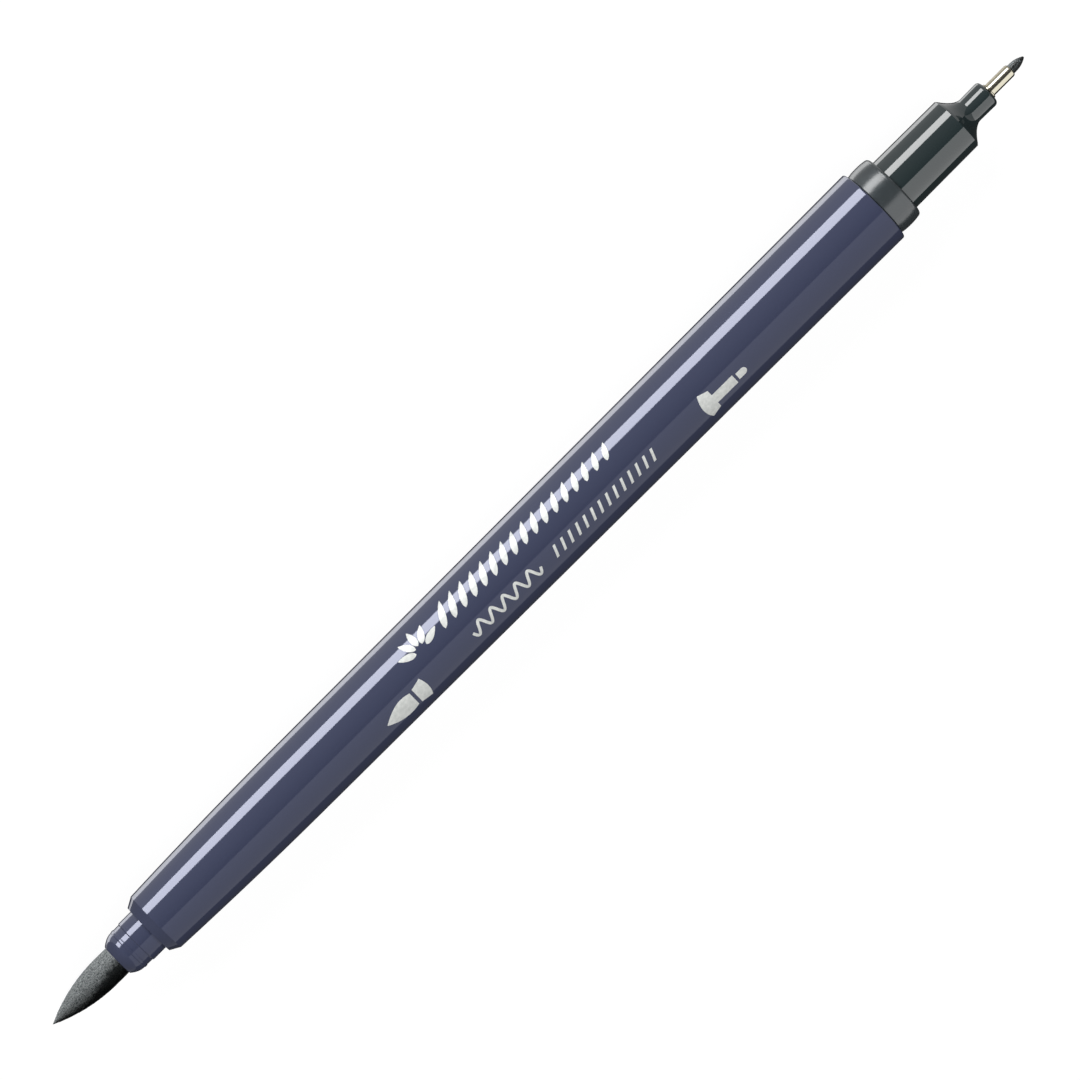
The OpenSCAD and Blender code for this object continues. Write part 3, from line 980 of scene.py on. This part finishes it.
# Thin clear film, wrapped and welded, with faint draw lines along it, about 0.25 mm apart.
place = add(tree, "ShaderNodeTexCoord")
along = add(
    tree, "ShaderNodeMapping", None, {0: place.outputs["Object"], "Scale": (100.0, 4000.0, 4000.0)}
)
drawn = add(tree, "ShaderNodeTexNoise", None, {"Vector": along.outputs[0], "Scale": 1.0, "Detail": 2.0})
worn = add(tree, "ShaderNodeMapRange", None, {0: drawn.outputs["Fac"], 1: 0.3, 2: 0.7, 3: 0.12, 4: 0.3})
tree.links.new(worn.outputs[0], shader.inputs["Roughness"])
shader.inputs["Base Color"].default_value = linear("#dfe4e6")
shader.inputs["IOR"].default_value = 1.49
shader.inputs["Transmission Weight"].default_value = 0.9
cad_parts["reservoir_film"].data.materials[0] = film

# --- Collar -------------------------------------------------------------------------------
# The ring that plugs the barrel's fine end, moulded from graphite grey ABS in a spark-eroded
# mould. Its satin skin blurs reflections, and its edges are softly rounded.
collar_low, collar_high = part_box("end_collar")
COLLAR_RADIUS = collar_high.z
COLLAR_BORE = 3.0 * MM
satin_abs, tree, shader = finish_of("graphite_abs_satin_moulded")
# A spark-eroded mould leaves a grain of about 0.07 mm, which gives the satin its soft glow.
place = add(tree, "ShaderNodeTexCoord")
grain = add(
    tree,
    "ShaderNodeTexNoise",
    None,
    {"Vector": place.outputs["Object"], "Scale": 14000.0, "Detail": 2.0},
)
worn = add(tree, "ShaderNodeMapRange", None, {0: grain.outputs["Fac"], 1: 0.3, 2: 0.7, 3: 0.19, 4: 0.26})
relief = add(
    tree,
    "ShaderNodeBump",
    None,
    {"Height": grain.outputs["Fac"], "Distance": 0.0000006, "Strength": 0.6},
)
tree.links.new(worn.outputs[0], shader.inputs["Roughness"])
tree.links.new(relief.outputs[0], shader.inputs["Normal"])
shader.inputs["Base Color"].default_value = linear("#343a3d")
shader.inputs["IOR"].default_value = 1.51
EDGE = 0.22 * MM
RIM = 0.42 * MM
CROWN = 0.1 * MM
CROWN_FULLNESS = 2.4
collar_outline = [(collar_low.x, COLLAR_BORE), (collar_low.x, PLUG_BORE), (barrel_high.x, PLUG_BORE)]
collar_outline += arc(barrel_high.x + EDGE, COLLAR_RADIUS - CROWN - EDGE, EDGE, EDGE, -90, 0)
for i in range(1, 16):
    share = i / 16
    swell = CROWN * (1 - abs(2 * share - 1) ** CROWN_FULLNESS)
    x = barrel_high.x + EDGE + (collar_high.x - RIM - barrel_high.x - EDGE) * share
    collar_outline.append((x, COLLAR_RADIUS - CROWN + swell))
collar_outline += arc(collar_high.x - RIM, COLLAR_RADIUS - CROWN - RIM, RIM, RIM, 0, 90, 10)
collar_outline += [(collar_high.x, COLLAR_BORE)]
collar = turned("end_collar_ring", collar_outline, satin_abs, ring=True)
fitted(collar, "collar_plastic", "end_collar")

# --- Fine section -------------------------------------------------------------------------
# The fine nib's holder, moulded from graphite grey styrene with a high gloss. A straight
# shoulder ends in a crisp edge, then a hollow cone runs into the slim nose.
section_low, section_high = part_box("fine_section")
shoulder_start = collar_high.x
SHOULDER_LENGTH = 9.9 * MM
CONE_LENGTH = 2.0 * MM
shoulder_end = shoulder_start + SHOULDER_LENGTH
nose_start = shoulder_end + CONE_LENGTH
nose_end = section_high.x
SHOULDER_RADIUS = section_high.z
SHOULDER_FRONT = 3.38 * MM
SHOULDER_EDGE = 0.2 * MM
NOSE_RADIUS = 1.61 * MM
NOSE_FRONT = 1.64 * MM
NOSE_ROUND = 0.5 * MM
HOLLOW = 1.8
SECTION_CHAMBER = 2.3 * MM
CHAMBER_CONE_START = 3 * MM
CHAMBER_CONE_END = 1 * MM
SLEEVE_DEPTH = 4.6 * MM
SLEEVE_RADIUS = 0.77 * MM
FINE_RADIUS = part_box("fine_nib")[1].z
GUIDE_RADIUS = FINE_RADIUS + 0.01 * MM
gloss_styrene, tree, shader = finish_of("graphite_polystyrene_high_gloss")
# Polished mould, so near mirror gloss, with a faint waviness of about 1.1 mm and scuffs half a
# mm apart from its cap.
place = add(tree, "ShaderNodeTexCoord")
peel = add(
    tree, "ShaderNodeTexNoise", None, {"Vector": place.outputs["Object"], "Scale": 900.0, "Detail": 1.0}
)
along = add(
    tree, "ShaderNodeMapping", None, {0: place.outputs["Object"], "Scale": (150.0, 1800.0, 1800.0)}
)
scuffs = add(tree, "ShaderNodeTexNoise", None, {"Vector": along.outputs[0], "Scale": 1.0, "Detail": 3.0})
worn = add(
    tree, "ShaderNodeMapRange", None, {0: scuffs.outputs["Fac"], 1: 0.45, 2: 0.75, 3: 0.02, 4: 0.05}
)
relief = add(
    tree, "ShaderNodeBump", None, {"Height": peel.outputs["Fac"], "Distance": 0.0000001, "Strength": 1.0}
)
tree.links.new(worn.outputs[0], shader.inputs["Roughness"])
tree.links.new(relief.outputs[0], shader.inputs["Normal"])
shader.inputs["Base Color"].default_value = linear("#263133")
shader.inputs["IOR"].default_value = 1.54
section_outline = [
    (section_low.x, COLLAR_BORE),
    (shoulder_start, COLLAR_BORE),
    (shoulder_start, SHOULDER_RADIUS),
    (shoulder_end - SHOULDER_EDGE, SHOULDER_FRONT),
    (shoulder_end, SHOULDER_FRONT - SHOULDER_EDGE),
]
for i in range(1, 25):
    share = i / 24
    fall = (1 - share) ** HOLLOW
    x = shoulder_end + (nose_start - shoulder_end) * share
    section_outline.append((x, NOSE_RADIUS + (SHOULDER_FRONT - SHOULDER_EDGE - NOSE_RADIUS) * fall))
section_outline += arc(nose_end - NOSE_ROUND, NOSE_FRONT - NOSE_ROUND, NOSE_ROUND, NOSE_ROUND, 0, 90, 10)
section_outline += [
    (nose_end, SLEEVE_RADIUS),
    (nose_end - SLEEVE_DEPTH, SLEEVE_RADIUS),
    (nose_end - SLEEVE_DEPTH, GUIDE_RADIUS),
    (shoulder_end - CHAMBER_CONE_END, GUIDE_RADIUS),
    (shoulder_end - CHAMBER_CONE_START, SECTION_CHAMBER),
    (section_low.x, SECTION_CHAMBER),
]
section = turned("fine_section_shell", section_outline, gloss_styrene, ring=True)
fitted(section, "section_plastic", "fine_section")

# --- Nib sleeve ---------------------------------------------------------------------------
# A drawn stainless steel tube that stiffens the fine nib. A small ring seats it on the nose,
# and its front edge is rolled in on the nib.
sleeve_low, sleeve_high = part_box("nib_sleeve")
RING_RADIUS = sleeve_high.z
RING_HALF = 0.12 * MM
RING_END = 0.26 * MM
ROLLED_LENGTH = 0.3 * MM
steel, tree, shader = finish_of("drawn_stainless_steel")
# Drawing leaves fine lines along the tube, about 0.04 mm apart, that stretch highlights.
place = add(tree, "ShaderNodeTexCoord")
along = add(
    tree, "ShaderNodeMapping", None, {0: place.outputs["Object"], "Scale": (800.0, 24000.0, 24000.0)}
)
drawn = add(tree, "ShaderNodeTexNoise", None, {"Vector": along.outputs[0], "Scale": 1.0, "Detail": 2.0})
worn = add(tree, "ShaderNodeMapRange", None, {0: drawn.outputs["Fac"], 1: 0.3, 2: 0.7, 3: 0.1, 4: 0.16})
relief = add(
    tree,
    "ShaderNodeBump",
    None,
    {"Height": drawn.outputs["Fac"], "Distance": 0.0000001, "Strength": 0.3},
)
tree.links.new(worn.outputs[0], shader.inputs["Roughness"])
tree.links.new(relief.outputs[0], shader.inputs["Normal"])
shader.inputs["Metallic"].default_value = 1.0
# A thin film of dried ink dulls the steel to a warm grey and takes the shine off its sides.
shader.inputs["Base Color"].default_value = linear("#9e9a8b")
shader.inputs["Specular Tint"].default_value = linear("#6a5a5e")
BORE_GAP = 0.02 * MM
sleeve_bore = FINE_RADIUS + BORE_GAP
sleeve_outline = [(sleeve_low.x, sleeve_bore), (sleeve_low.x, SLEEVE_RADIUS), (nose_end, SLEEVE_RADIUS)]
sleeve_outline += arc(nose_end + RING_HALF, RING_RADIUS - RING_HALF, RING_HALF, RING_HALF, -90, 90, 10)
sleeve_outline += [(nose_end + RING_END, SLEEVE_RADIUS)]
rolled_start = sleeve_high.x - ROLLED_LENGTH
sleeve_outline += arc(rolled_start, sleeve_bore, ROLLED_LENGTH, SLEEVE_RADIUS - sleeve_bore, 0, 90, 10)
sleeve = turned("nib_sleeve_tube", sleeve_outline, steel, ring=True, sides=96)
fitted(sleeve, "steel", "nib_sleeve")

# The three pieces that the long card lights.
carded = bpy.data.collections.new("lit_by_card")
for member in (collar, section, sleeve):
    carded.objects.link(member)
card_box.light_linking.receiver_collection = carded

# --- Fine nib -----------------------------------------------------------------------------
# A rod of bonded acrylic fibres, extruded and ground to a round point. The fibres lie along
# the rod, and its tail runs back through the sleeve to drink from the reservoir.
fine_low, fine_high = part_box("fine_nib")
POINT = 1.75 * MM
BLUNT = 0.1 * MM
FULLNESS = 2.25
POINT_CROWDING = 0.8
bonded, tree, shader = finish_of("ink_soaked_bonded_fibre")
# Fibres show as light and dark streaks along the rod. Real ones are about 0.02 mm thick. They are
# drawn in bundles of 0.15 mm, so that they show.
place = add(tree, "ShaderNodeTexCoord")
along = add(
    tree, "ShaderNodeMapping", None, {0: place.outputs["Object"], "Scale": (350.0, 6500.0, 6500.0)}
)
strands = add(
    tree, "ShaderNodeTexNoise", None, {"Vector": along.outputs[0], "Scale": 1.0, "Detail": 2.0}
)
# The point is darker over its last half millimetre.
DARK_FROM = fine_high.x - 0.6 * MM
DARK_TO = fine_high.x - 0.1 * MM
spot = add(tree, "ShaderNodeSeparateXYZ", None, {0: place.outputs["Object"]})
toward_point = add(
    tree,
    "ShaderNodeMapRange",
    None,
    {0: spot.outputs["X"], 1: DARK_FROM, 2: DARK_TO, 3: 1.0, 4: 0.45},
)
light = add(
    tree, "ShaderNodeMath", {"operation": "MULTIPLY"}, {0: strands.outputs["Fac"], 1: toward_point.outputs[0]}
)
tone = add(tree, "ShaderNodeValToRGB", None, {0: light.outputs[0]})
tone.color_ramp.elements[0].position = 0.43
tone.color_ramp.elements[0].color = linear("#0b0e0e")
tone.color_ramp.elements[1].position = 0.6
tone.color_ramp.elements[1].color = linear("#767d7f")
relief = add(
    tree,
    "ShaderNodeBump",
    None,
    {"Height": strands.outputs["Fac"], "Distance": 0.00003, "Strength": 0.8},
)
tree.links.new(tone.outputs[0], shader.inputs["Base Color"])
tree.links.new(relief.outputs[0], shader.inputs["Normal"])
shader.inputs["Roughness"].default_value = 0.5
fine_outline = [(fine_low.x, 0), (fine_low.x, FINE_RADIUS)]
for i in range(41):
    share = (i / 40) ** POINT_CROWDING
    x = fine_high.x - POINT * (1 - share)
    fine_outline.append((x, FINE_RADIUS - (FINE_RADIUS - BLUNT) * share**FULLNESS))
fine_outline += [(fine_high.x, 0)]
fine = turned("fine_nib_rod", fine_outline, bonded, sides=96)
fitted(fine, "nib_fibre", "fine_nib")

# Both nibs are kept off the fill light.
flagged.objects.link(fine)
for member in flagged.collection_objects:
    member.light_linking.link_state = "EXCLUDE"
fill_box.light_linking.receiver_collection = flagged

# --- View ---------------------------------------------------------------------------------
# The camera looks down on the table through a long lens, leaning slightly along the marker, and
# is turned so that the marker crosses the frame from corner to corner.
CAMERA_FAR = 0.9
LEAN = math.radians(1.9)
UP_TURN = math.radians(45.07)
ASIDE = 0.09 * MM
LENS = 273
camera_data = bpy.data.cameras.new("camera")
camera_data.sensor_width = 36
camera_data.lens = LENS
camera = bpy.data.objects.new("camera", camera_data)
bpy.context.scene.collection.objects.link(camera)
bpy.context.scene.camera = camera
forward = Vector((math.sin(LEAN), 0, -math.cos(LEAN)))
camera_up = Vector((math.cos(UP_TURN), math.sin(UP_TURN), 0))
right = forward.cross(camera_up).normalized()
true_up = right.cross(forward)
stand = [aside - reach * CAMERA_FAR for aside, reach in zip((0, -ASIDE, 0), forward, strict=True)]
camera_rows = [[right[row], true_up[row], -forward[row], stand[row]] for row in range(3)]
camera.matrix_world = Matrix([*camera_rows, [0, 0, 0, 1]])
bpy.context.scene.view_settings.view_transform = "Standard"
